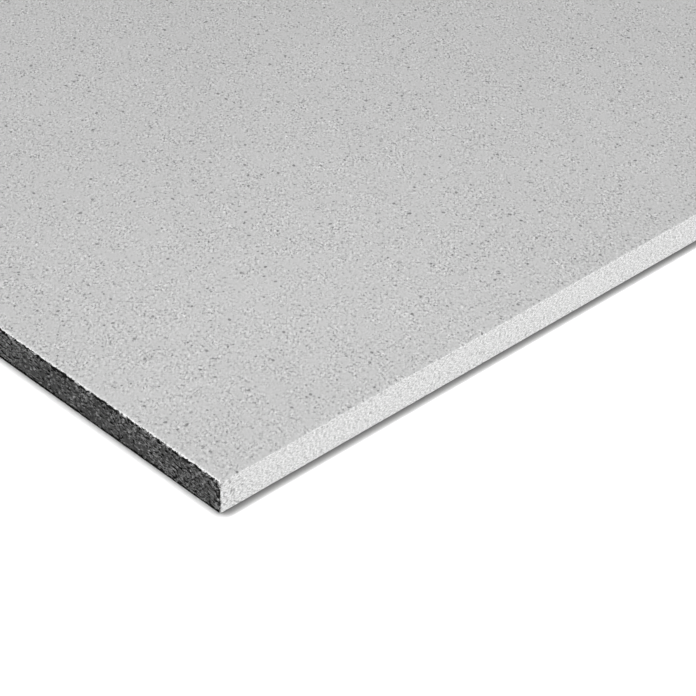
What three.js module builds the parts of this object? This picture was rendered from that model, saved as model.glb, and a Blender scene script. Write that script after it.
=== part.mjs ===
// Gypsum fibreboard sheet: one pressed, paperless board with sawn edges, lying flat.
// Millimetres, +Z up. The origin is the middle of the underside, the length runs along X
// and the width along Y.
import * as THREE from "three";

// Driving dimensions
const sheetLength = 1500; // along X, the format's long side
const sheetWidth = 1000; // along Y, the format's short side
const sheetThickness = 12.5; // along Z
const arrisEase = 0.4; // how far the rubbed arris is set back, on the face and on the edge alike
const faceCornerRadius = 0.4; // at the four corners of each flat face, inside the eased arris

// Fineness of the round stretches
const arrisFacets = 3; // across each eased arris
const cornerFacets = 6; // round each quarter turn

const boardGrey = new THREE.Color(0.54, 0.54, 0.535);
const boardRoughness = 0.9;

// A rectangle about the origin with round corners, drawn anticlockwise from its lower right corner.
function roundedRectangle(length, width, radius) {
  const x = length / 2 - radius;
  const y = width / 2 - radius;
  const quarter = Math.PI / 2;
  const shape = new THREE.Shape();
  shape.absarc(x, -y, radius, -quarter, 0);
  shape.absarc(x, y, radius, 0, quarter);
  shape.absarc(-x, y, radius, quarter, 2 * quarter);
  shape.absarc(-x, -y, radius, 2 * quarter, 3 * quarter);
  shape.closePath();
  return shape;
}

// The sheet grows out of the outline of its flat face. The bevel carries that outline round
// both arrises to the sawn edges, which stand at the full length and width.
function sheetGeometry() {
  const flatFace = roundedRectangle(
    sheetLength - 2 * arrisEase,
    sheetWidth - 2 * arrisEase,
    faceCornerRadius,
  );
  const geometry = new THREE.ExtrudeGeometry(flatFace, {
    depth: sheetThickness - 2 * arrisEase,
    curveSegments: cornerFacets,
    bevelEnabled: true,
    bevelThickness: arrisEase,
    bevelSize: arrisEase,
    bevelSegments: arrisFacets,
  });
  geometry.translate(0, 0, arrisEase); // the lower arris brings the underside down to z = 0
  return geometry;
}

const gypsumFibreboard = new THREE.MeshStandardMaterial({
  name: "gypsum_fibreboard",
  color: boardGrey,
  roughness: boardRoughness,
  metalness: 0,
});

const sheet = new THREE.Mesh(sheetGeometry(), gypsumFibreboard);
sheet.name = "fibreboard_sheet";

const group = new THREE.Group();
group.add(sheet);

export default group;
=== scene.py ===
# A gypsum fibreboard sheet lying on a white studio floor, seen at its near corner.
# The values come first, then the studio, the board's shape and the board's finish.
import math
from collections import namedtuple

import bmesh
import bpy
from mathutils import Matrix, Vector, noise


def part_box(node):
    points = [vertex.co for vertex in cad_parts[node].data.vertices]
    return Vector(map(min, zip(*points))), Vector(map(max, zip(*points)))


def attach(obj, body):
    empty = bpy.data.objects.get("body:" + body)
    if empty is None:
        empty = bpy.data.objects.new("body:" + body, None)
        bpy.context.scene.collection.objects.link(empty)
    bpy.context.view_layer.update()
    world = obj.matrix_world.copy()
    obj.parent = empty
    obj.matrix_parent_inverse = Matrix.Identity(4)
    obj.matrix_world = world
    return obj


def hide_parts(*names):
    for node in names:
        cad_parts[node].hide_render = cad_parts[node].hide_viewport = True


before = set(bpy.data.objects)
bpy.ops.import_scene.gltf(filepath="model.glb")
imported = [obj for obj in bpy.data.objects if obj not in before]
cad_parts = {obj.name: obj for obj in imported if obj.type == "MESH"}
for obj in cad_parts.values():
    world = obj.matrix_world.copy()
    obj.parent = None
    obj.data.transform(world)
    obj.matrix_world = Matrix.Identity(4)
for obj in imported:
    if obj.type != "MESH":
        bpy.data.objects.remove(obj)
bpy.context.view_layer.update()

MM = 0.001
HAIR = 0.01 * MM  # lengths that differ by less are taken to be the same
SHEET = "fibreboard_sheet"
LOW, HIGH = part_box(SHEET)
LENGTH, WIDTH, THICKNESS = HIGH - LOW
NEAR_CORNER = Vector((HIGH.x, LOW.y, 0.0))  # where the clean-cut short edge meets the rough long one

# Camera
CAMERA_FROM_CORNER = Vector((458.8, -412.7, 510.6)) * MM
CAMERA_HEADING = math.radians(134.46)  # anticlockwise from +X
CAMERA_DOWN = math.radians(35.79)
CAMERA_ROLL = math.radians(2.236)
CAMERA_LENS = 130.4  # millimetres, as the sensor's width is
CAMERA_SENSOR = 36.0

# Lights: how bright each makes a surface that faces it, where 1 shows a colour as it is written
OVERHEAD_LEVEL = 0.83
OVERHEAD_TILT = (math.radians(-15.3), math.radians(-0.4))  # off the vertical, towards +X and +Y
OVERHEAD_SPREAD = math.radians(38.6)
SIDE_LEVEL = 1.02
SIDE_RISE = math.radians(3.0)
SIDE_HEADING = math.radians(-3.0)
SIDE_SPREAD = math.radians(6.0)
BACK_LEVEL = 0.40
BACK_RISE = math.radians(12.0)
BACK_HEADING = math.radians(135.0)
BACK_SPREAD = math.radians(20.0)
AMBIENT_LEVEL = 0.06
CORNER_LAMP_LEVEL = 0.215
CORNER_LAMP_PLACE = Vector((0.0, 0.067, 0.35))  # from the near corner
CORNER_LAMP_SIZE = 0.15

# Floor
FLOOR_REACH = 60.0
FLOOR_DROP = 0.05 * MM  # below the sheet's underside
FLOOR_WHITE = 1.28
FLOOR_BOUNCE = 0.08  # how pale the floor is to the light that it throws back at the sheet
CONTACT_REACH = 4.0 * MM  # how far the shade at the sheet's foot spreads
CONTACT_FROM = Vector((-1.32, -0.47, 0.5))  # where the light comes from that the sheet keeps off the floor
CONTACT_DEPTH = 1.69
CONTACT_SAMPLES = 16

# The board's mesh
FINE_LONG = 126.0 * MM  # how far the fine mesh runs along the rough edge from the near corner
FINE_SHORT = 262.0 * MM  # and along the clean-cut edge
FINE_PITCH = 0.45 * MM
PLAIN_PITCH = 1.4 * MM
PLAIN_ROWS = 8
MANY_SIDES = 1000  # only the two flat faces have more sides than this
ARRIS = 0.15 * MM
FOOT_ARRIS = 0.05 * MM
ARRIS_STEPS = 2
UPPER_RINGS = (0.35 * MM, 0.5 * MM, 1.0 * MM)  # widths of the rings round the upper face
UNDER_RINGS = (0.8 * MM,)
FOLD_REACH = 0.1 * MM  # points that an inset folds over a corner lie no further in than this
RELIEF_REACH = 2.0 * MM  # the faces are flat further in than this

# The fibres in the faces and the layers in the edges
FIBRE_LAY = math.radians(134.0)  # the way most of the fibres lie, anticlockwise from +X
FIBRE_SCATTER = math.radians(120.0)
FIBRE_STRETCH = 1.5  # how much longer the grain is that way than across
LAYERS = 2.5  # how much flatter than they are wide the grains and pits of the edges lie

# The sawn edges' relief: how wide the blots of each kind are, and where a kind starts and is full
GRAIN_SIZE = 1.2 * MM
PIT_SIZE = 1.6 * MM
PIT_START = 0.2
PIT_FULL = 0.55
SWELL_SIZE = 7.0 * MM
NUB_SIZE = 1.5 * MM
NUB_START = 0.28
NUB_FULL = 0.48
NUB_CLEAR = 1.0 * MM  # nubs are full grown from this far below the upper face
ARRIS_CROWD = 0.14  # added to the nubs' noise at the upper arris, where they crowd
ARRIS_CROWD_REACH = 3.0 * MM
POST_CROWD = 0.06  # and at the corner posts
POST_CROWD_REACH = 40.0 * MM
CHIP_SIZE = 2.4 * MM
CHIP_START = 0.0
CHIP_FULL = 0.6
CRUMB_SIZE = 0.8 * MM
POST_CHIP_SIZE = 1.3 * MM
POST_CHIP_SHARE = 0.35  # 0 chips half of a corner post, and 1 all of it
ARRIS_REACH = 0.5 * MM
FOOT_STRAIGHT = 1.5 * MM  # the relief fades out this far above the lower arris
FOOT_CHIPS = 0.15  # how deep the lower arris is chipped beside the upper one
WALL_START = 0.3  # the walls' relief starts where a normal's level part is this long
WALL_FULL = 0.9  # and is full from here
UPRIGHT = 0.05  # a normal whose level part is shorter than this points at no side

# How deep each kind is on the rough edges and on the clean-cut ones; a nub is that high
ROUGH_GRAIN = 0.10 * MM
ROUGH_PIT = 0.35 * MM
ROUGH_SWELL = 0.08 * MM
ROUGH_NUB = 0.30 * MM
ROUGH_CHIP = 0.28 * MM
ROUGH_CRUMB = 0.12 * MM
CLEAN_GRAIN = 0.03 * MM
CLEAN_PIT = 0.05 * MM
CLEAN_CHIP = 0.05 * MM
CLEAN_CRUMB = 0.08 * MM
POST_CHIP = 0.45 * MM
CORNER_WEAR = 0.55 * MM
CORNER_WEAR_REACH = 1.8 * MM
CORNER_WEAR_WAY = Vector((-1.0, 1.0, -1.0)).normalized()

# Where in the noise each kind starts, so that no two kinds fall together
SEED_STEPS = (1.0, 2.3, -1.7)
GRAIN_SEED = 3.0
PIT_SEED = 11.0
SWELL_SEED = 23.0
NUB_SEED = 71.0
CHIP_SEED = 31.0
CRUMB_SEED = 41.0
POST_CHIP_SEEDS = (53.0, 59.0)  # from the short edge and from the long one

# The board's surface
BOARD_ROUGHNESS = 0.9
BOARD_GLOSS = 0.1
BLACKEST = 0.006
WHITEST = 0.9
RELIEF_UNIT = 0.03 * MM  # how high the relief that the finish draws is where it says 1

# The finish's patterns. From here on sizes are in millimetres, which the finish's nodes work in,
# levels run from 0, black, to 1, white, and a share is the part of a level that a mark changes.
NOISE_MIDDLE = 0.5
NOISE_GAIN = 8.0  # brings the noise to about unit spread

# A pattern is cloudy, with blots about its size wide, and its shift moves it off the others. A
# flat one is drawn in a plane. One that makes marks has them start and full at those heights.
Pattern = namedtuple(
    "Pattern", "size detail roughness flat shift start full", defaults=(0.0, 0.5, False, None, None, None)
)

# Flecks lie one to a cell, in that share of cells about their spacing wide. Each fades between
# its outside and its inside, both beside its half length and width, and is that dark and deep.
Flecks = namedtuple(
    "Flecks", "spacing half_length half_width share outside inside darkness depth shift", defaults=(None,)
)
MIDDLING_FLECKS = Flecks(
    spacing=2.2,
    half_length=0.64,
    half_width=0.50,
    share=0.50,
    outside=1.15,
    inside=0.7,
    darkness=0.26,
    depth=1.0,
    shift=(3.3, 7.1, 1.9),
)
DARK_FLECKS = Flecks(
    spacing=2.9,
    half_length=0.66,
    half_width=0.50,
    share=0.30,
    outside=1.1,
    inside=0.75,
    darkness=0.54,
    depth=1.3,
)
BLOTS = Flecks(
    spacing=4.5,
    half_length=0.70,
    half_width=0.54,
    share=0.30,
    outside=1.1,
    inside=0.7,
    darkness=0.54,
    depth=1.3,
    shift=(9.9, 2.3, 4.1),
)
FLECK_LEAST = 0.6  # the smallest and the largest fleck, beside its kind's half length and width
FLECK_MOST = 1.4
FLECK_SURE = 0.7  # a cell that draws less than this part of the share has its fleck in full

# What the finishes of the parts share
FINE = Pattern(size=0.45, detail=1.0, shift=(1.7, 5.5, 3.1))
RAGGED = Pattern(size=1.3, detail=1.0, shift=(4.4, 6.6, 9.9))
GRIT = Pattern(size=1.25, detail=1.0, flat=True)
DUST = Pattern(size=0.85, flat=True, shift=(1.9, 9.2, 0.0))
UPPER_PART = (5.0, 7.0)  # the heights between which an edge's upper part starts
POST_REACH = 32.0  # how far from a corner post a rough edge's rim and upper line are crisper
ROUGH_EARLY = 0.15  # a rough edge's finish starts this far before the corner post
ROUGH_WAVER = (0.2, 0.15)  # how far the fine and the ragged pattern move its start
ROUGH_SOFT = (-0.1, 0.1)
BORDER_JAGS = 0.05  # how far the fine pattern moves the border between a face and an edge
BORDER_SOFT = (-0.12, 0.12)
FRAY = 0.30  # how far a rough edge's finish reaches over its arrises
FRAY_WAVER = (0.07, 0.08)

# The faces' finish
FACE_LEVEL = 0.477
FIBRES = Pattern(size=0.90, detail=1.0, flat=True)
FIBRE_LEVEL = 0.040
FIBRE_DEPTH = 0.3
CLOUDS = Pattern(size=120.0, detail=3.0, roughness=0.6)
CLOUD_LEVEL = 0.004
MOTTLE = Pattern(size=16.0, detail=2.0, roughness=0.6)
MOTTLE_LEVEL = 0.004
SPECKS = Pattern(size=0.76, flat=True, shift=(5.3, 2.1, 0.0), start=0.8, full=1.6)
SPECK_SHARE = 0.27
SPECK_DEPTH = 0.4
GLEAMS = Pattern(size=0.68, flat=True, shift=(13.3, 1.1, 0.0), start=0.8, full=1.7)
GLEAM_SHARE = 0.14
LIVELY = Pattern(size=5.0, detail=1.0, roughness=0.7)  # where the fibres and specks are strong
LIVELY_MIDDLE = 0.83
LIVELY_SWING = 0.40
LIVELY_LEAST = 0.15
RIM_START = 0.1  # the face's pale rim along a rough edge starts this far inside the arris
RIM_JAGS = 0.12
RIM_REACH = 0.9
RIM_LEVEL = 0.20
BRINK_REACH = 0.4  # the rim's brightest part, along the arris
BRINK_LEVEL = 0.34
BRINK_BY_POST = 0.34

# The clean-cut edges' finish
# above the rough edges' level for the same gypsum: painted light on the lit side
CLEAN_LIT_LEVEL = 0.652
CLEAN_DUST = 0.060
CLEAN_GRIT = 0.065
CLEAN_FLECKS = 0.2
CLEAN_DEPTH = 0.5
SPARKS = Pattern(size=0.85, flat=True, shift=(2.9, 28.3, 0.0), start=0.8, full=1.6)
SPARK_SHARE = 0.15
DOTS = Pattern(size=1.1, shift=(5.9, 18.3, 0.0), start=0.9, full=1.4)
DOT_SHARE = 0.12
DOT_BY_POST = 0.25
DOT_POST_REACH = 16.0

# The rough edges' finish
# below the clean-cut edges' level for the same gypsum: painted shade on the shaded side
ROUGH_SHADED_LEVEL = 0.362
ROUGH_DUST = 0.38
ROUGH_GRIT = 0.50
TONES = Pattern(size=9.0, detail=1.0)
TONE_STRENGTH = 0.10
HARSH = Pattern(size=9.0, detail=1.0, roughness=0.7)  # where the dust and grit are strong
HARSH_MIDDLE = 0.50
HARSH_SWING = 0.9
HARSH_LEAST = 0.14
HARSH_BY_POST = 1.9
HARSH_POST_REACH = 15.0
HARSH_BY_ARRIS = 1.5
HARSH_ARRIS_REACH = 3.0
# painted shade in the pits: how much darker they are
PIT_SHADE = 0.3
# painted highlight on the nubs, besides the light that their relief catches
NUB_HIGHLIGHT = 0.42
HOLES = Pattern(
    size=3.4, detail=1.0, roughness=0.6, flat=True, shift=(7.7, 31.3, 0.0), start=1.15, full=1.3
)
# painted shade in the holes: how much darker they are
HOLE_SHADE = 0.98
HOLE_DEPTH = 4.0
HARSH_HOLES = 0.2  # how much a harsh stretch widens its holes
LIPS = HOLES._replace(shift=(8.0, 32.9, 0.0), full=1.4)  # a hole's lip lies just below it, paler by a painted highlight
# painted highlight on the holes' lips; their height below is real relief
LIP_HIGHLIGHT = 0.4
LIP_HEIGHT = 4.0
GLINTS = Pattern(size=1.8, flat=True, shift=(22.9, 8.3, 0.0), start=1.75, full=2.05)
GLINT_LEVEL = 0.9
GLINT_HEIGHT = 9.0
HARSH_GLINTS = 0.3
NICKS = Pattern(size=1.9, shift=(14.9, 3.3, 7.7), start=0.1, full=0.35)
# painted shade in the nicks: how much darker they are
NICK_SHADE = 0.95
FLASHES = Pattern(size=1.6, shift=(15.4, 3.3, 14.1), start=0.4, full=0.7)
FLASH_LEVEL = 0.8
FLASH_HEIGHT = 9.0
NICKED_REACH = 5.0  # nicks and flashes lie this near to a corner post

# The dark lines of painted shade that frame a rough edge: under its upper arris, down its corner post, and
# along its foot, where it is a painted contact shadow. A line's end is where it is gone and where it is
# full.
TIP_REACH = 1.8  # the lines leave out the corners' upper tips
UPPER_SHADE_SHARE = 0.98
UPPER_LINE_START = (-0.1, 0.1)
UPPER_LINE_END = (1.4, 1.05)
UPPER_LINE_JAGS = 0.12
UPPER_LINE_RAGS = 0.35
RAGS_LESS_BY_POST = 0.15
THINNER_BY_POST = 0.3
DASHES = Pattern(size=3.6, detail=1.0, start=0.15, full=0.4)
DASH_GROWTH = 0.012  # for each millimetre from the post, until the most
DASH_GROWTH_MOST = 0.6
POST_SHADE_SHARE = 0.95
POST_LINE_END = (1.4, 0.5)
POST_LINE_WAVER = (0.1, 0.2)
POST_DASHES = Pattern(size=2.2, shift=(8.8, 1.1, 5.2), start=-0.6, full=0.3)
POST_DASH_LEAST = 0.7  # how strong the post's line is between its dashes
FOOT_SHADE_SHARE = 0.98
FOOT_LINE_END = (1.15, 0.65)
FOOT_LINE_WAVER = (0.1, 0.2)


# ---------------------------------------------------------------- studio

def aim(thing, direction):
    """Turns a lamp so that it shines along a direction."""
    thing.rotation_mode = "QUATERNION"
    thing.rotation_quaternion = Vector(direction).to_track_quat("-Z", "Y")


def add_object(name, data):
    thing = bpy.data.objects.new(name, data)
    bpy.context.scene.collection.objects.link(thing)
    return thing


def add_camera():
    camera = add_object("camera", bpy.data.cameras.new("camera"))
    camera.data.sensor_width = CAMERA_SENSOR
    camera.data.lens = CAMERA_LENS
    camera.matrix_world = (
        Matrix.Translation(NEAR_CORNER + CAMERA_FROM_CORNER)
        @ Matrix.Rotation(CAMERA_HEADING - math.pi / 2, 4, "Z")
        @ Matrix.Rotation(math.pi / 2 - CAMERA_DOWN, 4, "X")
        @ Matrix.Rotation(CAMERA_ROLL, 4, "Z")
    )
    bpy.context.scene.camera = camera


def add_sun(name, towards, level, spread):
    """A lamp too far away to weaken across the sheet. It stands in the given direction."""
    sun = add_object(name, bpy.data.lights.new(name, "SUN"))
    sun.data.energy = level * math.pi
    sun.data.angle = spread
    aim(sun, -Vector(towards))


def add_low_sun(name, heading, rise, level, spread):
    """A far lamp that stands at a heading, anticlockwise from +X, and an angle above the floor."""
    along = math.cos(rise)
    towards = (along * math.cos(heading), along * math.sin(heading), math.sin(rise))
    add_sun(name, towards, level, spread)


def add_corner_lamp():
    """A soft round lamp that hangs over the near corner and shines straight down."""
    lamp = add_object("corner_lamp", bpy.data.lights.new("corner_lamp", "AREA"))
    lamp.data.shape = "DISK"
    lamp.data.size = CORNER_LAMP_SIZE
    lamp.data.energy = CORNER_LAMP_LEVEL * math.pi**2 * CORNER_LAMP_PLACE.z**2
    lamp.location = NEAR_CORNER + CORNER_LAMP_PLACE
    lamp.visible_camera = False
    aim(lamp, (0.0, 0.0, -1.0))


def add_lamps():
    tilt_x, tilt_y = OVERHEAD_TILT
    overhead = (math.tan(tilt_x), math.tan(tilt_y), 1.0)
    add_sun("overhead_lamp", overhead, OVERHEAD_LEVEL, OVERHEAD_SPREAD)
    add_low_sun("side_lamp", SIDE_HEADING, SIDE_RISE, SIDE_LEVEL, SIDE_SPREAD)
    add_low_sun("back_lamp", BACK_HEADING, BACK_RISE, BACK_LEVEL, BACK_SPREAD)
    add_corner_lamp()


# ---------------------------------------------------------------- shader writing

class Field:
    """A number or a vector that varies over a surface: a node's output with Python's operators."""

    def __init__(self, finish, socket, vector=False):
        self.finish = finish
        self.socket = socket
        self.vector = vector

    def does(self, operation, *others, clamp=False):
        kind = "ShaderNodeVectorMath" if self.vector else "ShaderNodeMath"
        settings = {"operation": operation}
        if clamp:
            settings["use_clamp"] = True
        made = self.finish.node(kind, settings, dict(enumerate((self, *others))))
        return Field(self.finish, made.outputs[0], self.vector)

    def __add__(self, other):
        return self.does("ADD", other)

    __radd__ = __add__

    def __mul__(self, other):
        if self.vector and not isinstance(other, (Field, tuple)):
            other = (other,) * 3
        return self.does("MULTIPLY", other)

    __rmul__ = __mul__

    def __sub__(self, other):
        return self.does("SUBTRACT", other)

    def __rsub__(self, other):
        return self * -1.0 + other

    def __truediv__(self, other):
        return self.does("DIVIDE", other)

    def __pow__(self, other):
        return self.does("POWER", other)

    def least(self, other):
        return self.does("MINIMUM", other)

    def most(self, other):
        return self.does("MAXIMUM", other)

    def clamped(self):
        return self.does("ADD", 0.0, clamp=True)

    def fades(self, reach):
        """1 at zero, and e to the minus one at the reach."""
        scaled = self * (1.0 / reach)
        return (scaled * scaled * -1.0).does("EXPONENT")

    def rise(self, start, end):
        """0 at start, 1 at end, and an even S between them. End may be below start."""
        made = self.finish.node(
            "ShaderNodeMapRange",
            {"interpolation_type": "SMOOTHSTEP"},
            {"Value": self, "From Min": min(start, end), "From Max": max(start, end)},
        )
        up = Field(self.finish, made.outputs["Result"])
        return up if start < end else 1.0 - up

    def less(self, mark, share):
        """Without that share of itself where the mark is 1."""
        return self * (1.0 - mark * share)

    def towards(self, other, share):
        """Itself where the share is 0, and the other where it is 1."""
        return self + (other - self) * share


class Finish:
    """The nodes of a material or of the world, under construction."""

    def __init__(self, owner):
        owner.use_nodes = True
        self.tree = owner.node_tree
        self.tree.nodes.clear()

    def node(self, kind, settings=None, inputs=None):
        """Adds a node. Its settings come first, then the values or links of its sockets."""
        made = self.tree.nodes.new(kind)
        for name, value in (settings or {}).items():
            setattr(made, name, value)
        for name, value in (inputs or {}).items():
            socket = made.inputs[name]
            if isinstance(value, Field):
                self.tree.links.new(value.socket, socket)
            else:
                socket.default_value = value
        return made

    def value(self, kind, output, settings=None, inputs=None, vector=False):
        """Adds a node and gives one of its outputs."""
        return Field(self, self.node(kind, settings, inputs).outputs[output], vector)

    def attribute(self, name):
        return self.value("ShaderNodeAttribute", "Fac", {"attribute_name": name})

    def vector_of(self, x, y, z=0.0):
        return self.value("ShaderNodeCombineXYZ", "Vector", None, {"X": x, "Y": y, "Z": z}, vector=True)

    def parts(self, vector):
        """The three numbers of a vector."""
        split = self.node("ShaderNodeSeparateXYZ", None, {"Vector": vector})
        return tuple(Field(self, split.outputs[name]) for name in "XYZ")

    def grey(self, level):
        """A colour that has the same level in red, green and blue."""
        channels = dict.fromkeys(("Red", "Green", "Blue"), level)
        return self.value("ShaderNodeCombineColor", "Color", None, channels, vector=True)

    def blur(self, place, pattern):
        """A pattern's cloudy noise, about zero and of about unit spread.

        Flat noise varies with the first two numbers of the place only, and has no broad clouds.
        """
        made = self.value(
            "ShaderNodeTexNoise",
            "Fac",
            {"noise_dimensions": "2D" if pattern.flat else "3D"},
            {
                "Vector": place + pattern.shift if pattern.shift else place,
                "Scale": 1.0 / pattern.size,
                "Detail": pattern.detail,
                "Roughness": pattern.roughness,
            },
        )
        return (made - NOISE_MIDDLE) * NOISE_GAIN

    def marks(self, place, pattern, more=0.0):
        """1 on a pattern's marks and 0 between them. What is added to the pattern widens them."""
        return (self.blur(place, pattern) + more).rise(pattern.start, pattern.full)


# ---------------------------------------------------------------- floor and background

def white_to_the_lens(finish):
    """1 for the rays that show the background to the camera, straight, mirrored or through glass."""
    path = finish.node("ShaderNodeLightPath")
    camera, mirror, glass = (
        Field(finish, path.outputs[name])
        for name in ("Is Camera Ray", "Is Glossy Ray", "Is Transmission Ray")
    )
    return (camera + mirror + glass).clamped()


def floor_paper():
    """White paper, with a narrow shade where the sheet stands on it."""
    paper = bpy.data.materials.new("floor_white")
    finish = Finish(paper)
    slant = finish.vector_of(*CONTACT_FROM.normalized())
    open_sky = finish.value(
        "ShaderNodeAmbientOcclusion",
        "AO",
        {"samples": CONTACT_SAMPLES},
        {"Distance": CONTACT_REACH, "Normal": slant},
    )
    seen = FLOOR_WHITE * open_sky**CONTACT_DEPTH
    level = FLOOR_BOUNCE + (seen - FLOOR_BOUNCE) * white_to_the_lens(finish)
    paint = finish.value("ShaderNodeBsdfDiffuse", "BSDF", None, {"Color": finish.grey(level)})
    finish.node("ShaderNodeOutputMaterial", None, {"Surface": paint})
    return paper


def add_floor():
    bm = bmesh.new()
    bmesh.ops.create_grid(bm, x_segments=1, y_segments=1, size=FLOOR_REACH)
    bmesh.ops.translate(bm, vec=(0.0, 0.0, -FLOOR_DROP), verts=bm.verts)
    mesh = bpy.data.meshes.new("studio_floor")
    bm.to_mesh(mesh)
    bm.free()
    floor = add_object("studio_floor", mesh)
    mesh.materials.append(floor_paper())


def add_background():
    world = bpy.data.worlds.new("studio_air")
    bpy.context.scene.world = world
    finish = Finish(world)
    level = AMBIENT_LEVEL + white_to_the_lens(finish) * (1.0 - AMBIENT_LEVEL)
    white = (1.0, 1.0, 1.0, 1.0)
    air = finish.value("ShaderNodeBackground", "Background", None, {"Color": white, "Strength": level})
    finish.node("ShaderNodeOutputWorld", None, {"Surface": air})


# ---------------------------------------------------------------- the board's shape

def near(value, target):
    return abs(value - target) < HAIR


def is_near_stretch(edge):
    """Whether an edge of the outline, or a post of the walls, stands where the mesh is fine."""
    middle = (edge.verts[0].co + edge.verts[1].co) / 2
    near_x = middle.x > HIGH.x - FINE_LONG + HAIR
    near_y = middle.y < LOW.y + FINE_SHORT - HAIR
    on_long = near(middle.y, LOW.y)
    on_short = near(middle.x, HIGH.x)
    return (on_long and near_x) or (on_short and near_y)


def cut_to_pitch(bm, edges, pitch):
    """Cuts each edge into equal lengths of about the pitch."""
    for edge in edges:
        cuts = round(edge.calc_length() / pitch) - 1
        if cuts > 0:
            bmesh.ops.subdivide_edges(bm, edges=[edge], cuts=cuts)


def add_underside(bm):
    """The underside as one face, with its border cut into short lengths."""
    bmesh.ops.create_grid(bm, x_segments=1, y_segments=1, size=1 / 2)
    bmesh.ops.scale(bm, vec=(LENGTH, WIDTH, 1.0), verts=bm.verts)
    for point, normal in (
        ((HIGH.x - FINE_LONG, 0.0, 0.0), (1.0, 0.0, 0.0)),
        ((0.0, LOW.y + FINE_SHORT, 0.0), (0.0, 1.0, 0.0)),
    ):
        everything = [*bm.verts, *bm.edges, *bm.faces]
        bmesh.ops.bisect_plane(bm, geom=everything, plane_co=point, plane_no=normal)
    bmesh.ops.dissolve_faces(bm, faces=list(bm.faces), use_verts=False)
    fine = [edge for edge in bm.edges if is_near_stretch(edge)]
    plain = [edge for edge in bm.edges if not is_near_stretch(edge)]
    cut_to_pitch(bm, fine, FINE_PITCH)
    cut_to_pitch(bm, plain, PLAIN_PITCH)


def is_flat_face(face):
    """Whether it is the upper or the under face, inside its rings."""
    return len(face.verts) > MANY_SIDES


def flat_face(bm, height):
    return next(
        face for face in bm.faces if is_flat_face(face) and near(face.calc_center_median().z, height)
    )


def raise_walls(bm):
    """Pulls the underside up into a slab, then cuts its walls into rows."""
    pulled = bmesh.ops.extrude_face_region(bm, geom=list(bm.faces))
    upper = [item for item in pulled["geom"] if isinstance(item, bmesh.types.BMVert)]
    bmesh.ops.translate(bm, vec=(0.0, 0.0, THICKNESS), verts=upper)
    bmesh.ops.recalc_face_normals(bm, faces=bm.faces)
    posts = [
        edge for edge in bm.edges if abs(edge.verts[0].co.z - edge.verts[1].co.z) > THICKNESS / 2
    ]
    fine = [post for post in posts if is_near_stretch(post)]
    plain = [post for post in posts if not is_near_stretch(post)]
    bmesh.ops.subdivide_edges(bm, edges=plain, cuts=PLAIN_ROWS - 1, use_grid_fill=True)
    rows = round(THICKNESS / FINE_PITCH)
    bmesh.ops.subdivide_edges(bm, edges=fine, cuts=rows - 1, use_grid_fill=True)


def is_corner_post(edge):
    return all(near(abs(vert.co.x), HIGH.x) and near(abs(vert.co.y), HIGH.y) for vert in edge.verts)


def ease(bm, edges, width):
    bmesh.ops.bevel(
        bm,
        geom=edges,
        offset=width,
        affect="EDGES",
        segments=ARRIS_STEPS,
        profile=0.5,
        material=-1,
    )


def ease_arrises(bm):
    posts = [edge for edge in bm.edges if is_corner_post(edge)]
    ease(bm, list(flat_face(bm, THICKNESS).edges) + posts, ARRIS)
    ease(bm, list(flat_face(bm, 0.0).edges), FOOT_ARRIS)


def add_rings(bm):
    """Lays narrow rings inside both arrises, so that the chips can fade out over them."""
    for height, arris, rings in ((THICKNESS, ARRIS, UPPER_RINGS), (0.0, FOOT_ARRIS, UNDER_RINGS)):
        inward = arris
        for ring in rings:
            inward += ring
            inside = flat_face(bm, height)
            bmesh.ops.inset_region(bm, faces=[inside], thickness=ring, use_even_offset=True)
            gather_corners(bm, height, inward)


def gather_corners(bm, height, inward):
    """Draws the points that an inset has folded over each other at a corner into one point."""
    for side_x, side_y in ((1, 1), (1, -1), (-1, 1), (-1, -1)):
        corner = Vector((side_x * (HIGH.x - inward), side_y * (HIGH.y - inward), height))
        folded = [
            vert
            for vert in flat_face(bm, height).verts
            if side_x * (vert.co.x - corner.x) > -FOLD_REACH
            and side_y * (vert.co.y - corner.y) > -FOLD_REACH
        ]
        bmesh.ops.pointmerge(bm, verts=folded, merge_co=corner)


# ---------------------------------------------------------------- the board's relief

def pulse(point, size, seed):
    """Smooth noise of about -1 to 1, whose blots are about size wide."""
    return noise.noise(point / size + Vector([step * seed for step in SEED_STEPS]))


def ramp(value, start, end):
    """0 at start, 1 at end, and an even S between them."""
    share = min(max((value - start) / (end - start), 0.0), 1.0)
    return share * share * (3.0 - 2.0 * share)


def fade(distance, reach):
    """1 at zero, and e to the minus one at the reach."""
    return math.exp(-((distance / reach) ** 2))


def blend(rough_share, rough, clean):
    return rough_share * rough + (1.0 - rough_share) * clean


def corner_wear(place):
    """How the near corner's upper tip is rubbed down: slantwise, into the board."""
    tip = Vector((HIGH.x, LOW.y, THICKNESS))
    amount = CORNER_WEAR * (1.0 - ramp((place - tip).length, 0.0, CORNER_WEAR_REACH))
    return amount * CORNER_WEAR_WAY


def nub_growth(place, layered):
    """How much of a nub a place has. Nubs crowd under the upper arris and beside the posts."""
    from_rims = ramp(THICKNESS - place.z, 0.0, NUB_CLEAR) * ramp(place.z, FOOT_STRAIGHT, 2 * FOOT_STRAIGHT)
    crowd = ARRIS_CROWD * fade(THICKNESS - place.z, ARRIS_CROWD_REACH)
    crowd += POST_CROWD * fade(HIGH.x - abs(place.x), POST_CROWD_REACH)
    return from_rims * ramp(pulse(layered, NUB_SIZE, NUB_SEED) + crowd, NUB_START, NUB_FULL)


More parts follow.
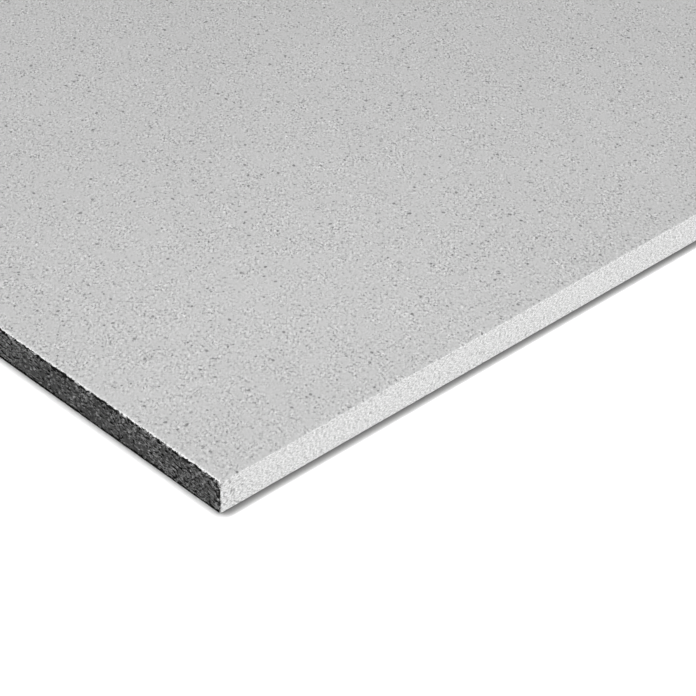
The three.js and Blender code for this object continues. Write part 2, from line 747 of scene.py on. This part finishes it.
def wall_relief(place, rough_share):
    """How deep a sawn edge lies below its plane, and how much of a pit and of a nub is there."""
    layered = Vector((place.x, place.y, place.z * LAYERS))
    grain = pulse(layered, GRAIN_SIZE, GRAIN_SEED)
    pit = ramp(pulse(layered, PIT_SIZE, PIT_SEED), PIT_START, PIT_FULL)
    swell = pulse(place, SWELL_SIZE, SWELL_SEED)
    nub = rough_share * nub_growth(place, layered)
    rough_depth = ROUGH_GRAIN * grain + ROUGH_PIT * pit + ROUGH_SWELL * swell - ROUGH_NUB * nub
    clean_depth = CLEAN_GRAIN * grain + CLEAN_PIT * pit
    return blend(rough_share, rough_depth, clean_depth), pit, nub


def arris_chip(place, rough_share):
    """How much is chipped off an arris at a place."""
    bite = ramp(pulse(place, CHIP_SIZE, CHIP_SEED), CHIP_START, CHIP_FULL)
    crumb = (1.0 + pulse(place, CRUMB_SIZE, CRUMB_SEED)) / 2
    rough_chip = ROUGH_CHIP * bite + ROUGH_CRUMB * crumb
    clean_chip = CLEAN_CHIP * bite + CLEAN_CRUMB * crumb
    return blend(rough_share, rough_chip, clean_chip)


def post_chip(place, from_short, from_long):
    """How an upright corner is chipped: now more from one side, now more from the other."""
    short_bite, long_bite = (
        max(POST_CHIP_SHARE + pulse(place, POST_CHIP_SIZE, seed), 0.0) for seed in POST_CHIP_SEEDS
    )
    inward = Vector((math.copysign(short_bite, -place.x), math.copysign(long_bite, -place.y), 0.0))
    return POST_CHIP * fade(from_short, ARRIS_REACH) * fade(from_long, ARRIS_REACH) * inward


def side_direction(place, normal):
    """Which way is out of the board, level, at a point of a wall, an arris or a face's border."""
    level = Vector((normal.x, normal.y, 0.0))
    if level.length > UPRIGHT:
        return level.normalized()
    if HIGH.x - abs(place.x) < HIGH.y - abs(place.y):
        return Vector((math.copysign(1.0, place.x), 0.0, 0.0))
    return Vector((0.0, math.copysign(1.0, place.y), 0.0))


def roughen(bm):
    """Gives the sawn edges their grain, pits and nubs and the arrises their chips.

    The finish reads what is kept with each point: how much of a pit and of a nub is there, and
    how many millimetres it lies over the arris and round the corner post.
    """
    pit_layer, nub_layer, arris_layer, post_layer = (
        bm.verts.layers.float.new(name) for name in ("pit", "nub", "past_arris", "past_post")
    )
    bm.normal_update()
    facing = [vert.normal.copy() for vert in bm.verts]
    for vert, normal in zip(bm.verts, facing):
        place = vert.co.copy()
        from_short = HIGH.x - abs(place.x)
        from_long = HIGH.y - abs(place.y)
        from_side = max(min(from_short, from_long), 0.0)
        is_upper = place.z > THICKNESS / 2
        from_face = THICKNESS - place.z if is_upper else place.z
        vert[arris_layer] = (from_face - from_side) / MM
        vert[post_layer] = (from_short - from_long) / MM
        if from_face < HAIR and from_side > RELIEF_REACH:
            continue
        on_wall = ramp(math.hypot(normal.x, normal.y), WALL_START, WALL_FULL)
        rough_share = ramp(from_short - from_long, -ARRIS, ARRIS)
        depth, pit, nub = wall_relief(place, rough_share)
        depth *= ramp(place.z, 0.0, FOOT_STRAIGHT)
        chip = arris_chip(place, rough_share) * fade(from_side, ARRIS_REACH) * fade(from_face, ARRIS_REACH)
        chip *= 1.0 if is_upper else FOOT_CHIPS
        vert.co -= side_direction(place, normal) * (depth * on_wall + chip)
        vert.co += post_chip(place, from_short, from_long)
        vert.co.z += -chip if is_upper else chip
        vert.co += corner_wear(place)
        vert[pit_layer] = pit * on_wall
        vert[nub_layer] = nub * on_wall


def shape_board():
    bm = bmesh.new()
    add_underside(bm)
    raise_walls(bm)
    ease_arrises(bm)
    add_rings(bm)
    roughen(bm)
    for face in bm.faces:
        face.smooth = not is_flat_face(face)
    mesh = bpy.data.meshes.new("board")
    bm.to_mesh(mesh)
    bm.free()
    return add_object("board", mesh)


# ---------------------------------------------------------------- the board's finish

def flecks(finish, where, kind):
    """1 on small oval flecks that lie every way."""
    place = where + kind.shift if kind.shift else where
    cells = finish.node(
        "ShaderNodeTexVoronoi",
        {"voronoi_dimensions": "3D", "feature": "F1"},
        {"Vector": place, "Scale": 1.0 / kind.spacing, "Randomness": 1.0},
    )
    colour, middle = (Field(finish, cells.outputs[name], vector=True) for name in ("Color", "Position"))
    draws = finish.node("ShaderNodeSeparateColor", None, {"Color": colour})
    turn_draw, share_draw, size_draw = (
        Field(finish, draws.outputs[name]) for name in ("Red", "Green", "Blue")
    )
    turn = turn_draw * FIBRE_SCATTER + (FIBRE_LAY - FIBRE_SCATTER / 2)
    size = size_draw * (FLECK_MOST - FLECK_LEAST) + FLECK_LEAST
    across, along, height = finish.parts(place - middle)
    cosine = turn.does("COSINE")
    sine = turn.does("SINE")
    length_part = (across * cosine + along * sine) / kind.half_length
    width_part = (along * cosine - across * sine) / kind.half_width
    height_part = height / kind.half_length
    squares = length_part * length_part + width_part * width_part + height_part * height_part
    reach = squares**0.5 / size
    return reach.rise(kind.outside, kind.inside) * share_draw.rise(kind.share, kind.share * FLECK_SURE)


class Layout:
    """Where a point of the board is, which part of the board that is, and what the parts share."""

    def __init__(self, finish):
        self.where = finish.value("ShaderNodeTexCoord", "Object", vector=True) * (1.0 / MM)
        across, along, height = finish.parts(self.where)
        # The faces' patterns are drawn out along the fibres, and the edges' lie in flat layers.
        self.laid = finish.value(
            "ShaderNodeMapping",
            "Vector",
            {"vector_type": "TEXTURE"},
            {"Vector": self.where, "Rotation": (0.0, 0.0, FIBRE_LAY), "Scale": (FIBRE_STRETCH, 1.0, 1.0)},
            vector=True,
        )
        self.unrolled = finish.vector_of(across + along, height * LAYERS)
        self.past_arris = finish.attribute("past_arris")  # above zero on the sawn edges
        self.past_post = finish.attribute("past_post")  # above zero on the long edges
        self.by_post = self.past_post.fades(POST_REACH)
        self.fine = finish.blur(self.where, FINE)
        self.ragged = finish.blur(self.where, RAGGED)
        self.grit = finish.blur(self.unrolled, GRIT)
        self.dust = finish.blur(self.unrolled, DUST)
        self.flecks = {
            kind: flecks(finish, self.where, kind) for kind in (MIDDLING_FLECKS, DARK_FLECKS, BLOTS)
        }
        # 1 on the long edges, and 1 on the upper part of every edge
        self.rough = self.wavering(self.past_post + ROUGH_EARLY, ROUGH_WAVER).rise(*ROUGH_SOFT)
        self.upper = height.rise(*UPPER_PART)

    def wavering(self, distance, waver):
        """A distance that the fine and the ragged pattern move to and fro, each by its waver."""
        fine_waver, ragged_waver = waver
        return distance + self.fine * fine_waver + self.ragged * ragged_waver


def rough_edge_rim(layout):
    """How much paler a face is along a rough edge: most on the brink, and there most by the post."""
    inward = (0.0 - layout.past_arris + layout.fine * RIM_JAGS - RIM_START).most(0.0)
    brink = inward.fades(BRINK_REACH) * (BRINK_LEVEL + layout.by_post * BRINK_BY_POST)
    return (inward.fades(RIM_REACH) * RIM_LEVEL + brink) * layout.rough


def finish_faces(finish, layout):
    """The level and the relief of both faces: grey fibres, finely specked and flecked."""
    fibres = finish.blur(layout.laid, FIBRES)
    speck = finish.marks(layout.laid, SPECKS)
    gleam = finish.marks(layout.laid, GLEAMS)
    lively = (LIVELY_MIDDLE + finish.blur(layout.where, LIVELY) * LIVELY_SWING).most(LIVELY_LEAST)
    level = FACE_LEVEL + finish.blur(layout.where, CLOUDS) * CLOUD_LEVEL
    level = level + finish.blur(layout.where, MOTTLE) * MOTTLE_LEVEL + fibres * lively * FIBRE_LEVEL
    level = level * (1.0 + (gleam * GLEAM_SHARE - speck * SPECK_SHARE) * lively)
    relief = fibres * FIBRE_DEPTH - speck * SPECK_DEPTH
    for kind, fleck in layout.flecks.items():
        level = level.less(fleck, kind.darkness)
        relief = relief - fleck * kind.depth
    return level + rough_edge_rim(layout), relief


def finish_clean_edges(finish, layout):
    """The level and the relief of the clean-cut edges: pale and fine, with a few dark dots."""
    spark = finish.marks(layout.unrolled, SPARKS)
    dot = finish.marks(layout.where, DOTS)
    level = CLEAN_LIT_LEVEL + layout.dust * CLEAN_DUST + layout.grit * CLEAN_GRIT
    level = level * (1.0 + spark * SPARK_SHARE)
    level = level.less(dot, DOT_SHARE + layout.past_post.fades(DOT_POST_REACH) * DOT_BY_POST)
    for fleck in layout.flecks.values():
        level = level.less(fleck, CLEAN_FLECKS)
    return level, layout.fine * CLEAN_DEPTH


def shade_rough_edges(finish, layout, level):
    """Paints shade as dark lines under the upper arris, down the corner post and along the foot, where it
    is a painted contact shadow.
    """
    tip = layout.past_arris.fades(TIP_REACH) * layout.past_post.fades(TIP_REACH) * layout.upper
    off_tip = 1.0 - tip
    jagged = layout.past_arris + layout.fine * UPPER_LINE_JAGS
    rags = layout.ragged * (UPPER_LINE_RAGS - layout.by_post * RAGS_LESS_BY_POST)
    upper_end = (jagged + rags + layout.by_post * THINNER_BY_POST).rise(*UPPER_LINE_END)
    dash_growth = (layout.past_post * DASH_GROWTH).least(DASH_GROWTH_MOST)
    dashes = finish.marks(layout.where, DASHES, dash_growth)
    upper_shade_line = jagged.rise(*UPPER_LINE_START) * upper_end * layout.upper * dashes * off_tip
    post_dashes = finish.marks(layout.where, POST_DASHES)
    post_end = layout.wavering(layout.past_post, POST_LINE_WAVER).rise(*POST_LINE_END)
    post_shade_line = post_end * off_tip * (POST_DASH_LEAST + post_dashes * (1.0 - POST_DASH_LEAST))
    foot_end = layout.wavering(layout.past_arris, FOOT_LINE_WAVER).rise(*FOOT_LINE_END)
    foot_shade_line = foot_end * (1.0 - layout.upper)
    # painted shade: the three dark lines darken the level
    level = level.less(upper_shade_line, UPPER_SHADE_SHARE).less(post_shade_line, POST_SHADE_SHARE)
    return level.less(foot_shade_line, FOOT_SHADE_SHARE)


def finish_rough_edges(finish, layout):
    """The level and the relief of the rough edges: torn and coarse, most by the posts and arrises."""
    harsh = HARSH_MIDDLE + finish.blur(layout.where, HARSH) * HARSH_SWING
    harsh = harsh + layout.past_post.fades(HARSH_POST_REACH) * HARSH_BY_POST
    harsh = harsh + layout.past_arris.fades(HARSH_ARRIS_REACH) * layout.upper * HARSH_BY_ARRIS
    harsh = harsh.most(HARSH_LEAST)
    hole = finish.marks(layout.unrolled, HOLES, harsh * HARSH_HOLES)
    lip = finish.marks(layout.unrolled, LIPS, harsh * HARSH_HOLES) * (1.0 - hole)
    glint = finish.marks(layout.unrolled, GLINTS, harsh * HARSH_GLINTS)
    nicked = layout.past_post.fades(NICKED_REACH)
    # the nicks are dark marks of painted shade by the corner post
    nick = finish.marks(layout.where, NICKS) * nicked
    flash = finish.marks(layout.where, FLASHES) * nicked

    grain = (layout.dust * ROUGH_DUST + layout.grit * ROUGH_GRIT) * harsh
    tone = finish.blur(layout.where, TONES) * TONE_STRENGTH
    level = ROUGH_SHADED_LEVEL * (grain + tone).does("EXPONENT")
    # painted shade: the holes, the pits and the nicks are darkened as if shade lay in them
    level = level.less(hole, HOLE_SHADE).less(finish.attribute("pit"), PIT_SHADE).less(nick, NICK_SHADE)
    # painted highlights: the glints and the lips are made paler as if they caught the light
    level = level + glint * GLINT_LEVEL + lip * LIP_HIGHLIGHT
    # painted highlights: the nubs and the flashes are made paler
    level = level + finish.attribute("nub") * NUB_HIGHLIGHT + flash * FLASH_LEVEL
    relief = glint * GLINT_HEIGHT + flash * FLASH_HEIGHT + lip * LIP_HEIGHT - hole * HOLE_DEPTH
    return shade_rough_edges(finish, layout, level), relief


def finish_board():
    gypsum = bpy.data.materials.new("gypsum_fibreboard")
    finish = Finish(gypsum)
    layout = Layout(finish)
    face_level, face_relief = finish_faces(finish, layout)
    clean_level, clean_relief = finish_clean_edges(finish, layout)
    rough_level, rough_relief = finish_rough_edges(finish, layout)
    edge_level = clean_level.towards(rough_level, layout.rough)
    edge_relief = clean_relief.towards(rough_relief, layout.rough)
    fray = layout.wavering(FRAY, FRAY_WAVER) * layout.rough
    border = (layout.past_arris + layout.fine * BORDER_JAGS + fray).rise(*BORDER_SOFT)
    level = face_level.towards(edge_level, border).most(BLACKEST).least(WHITEST)
    bump = finish.value(
        "ShaderNodeBump",
        "Normal",
        None,
        {"Height": face_relief + edge_relief * border, "Distance": RELIEF_UNIT, "Strength": 1.0},
        vector=True,
    )
    paint = finish.value(
        "ShaderNodeBsdfPrincipled",
        "BSDF",
        None,
        {
            "Base Color": finish.grey(level),
            "Roughness": BOARD_ROUGHNESS,
            "Normal": bump,
            "Specular IOR Level": BOARD_GLOSS,
        },
    )
    finish.node("ShaderNodeOutputMaterial", None, {"Surface": paint})
    return gypsum


# ---------------------------------------------------------------- the scene

bpy.context.scene.view_settings.view_transform = "Standard"
add_camera()
add_lamps()
add_floor()
add_background()
board = shape_board()
board.data.materials.append(finish_board())
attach(board, "root")
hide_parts(SHEET)
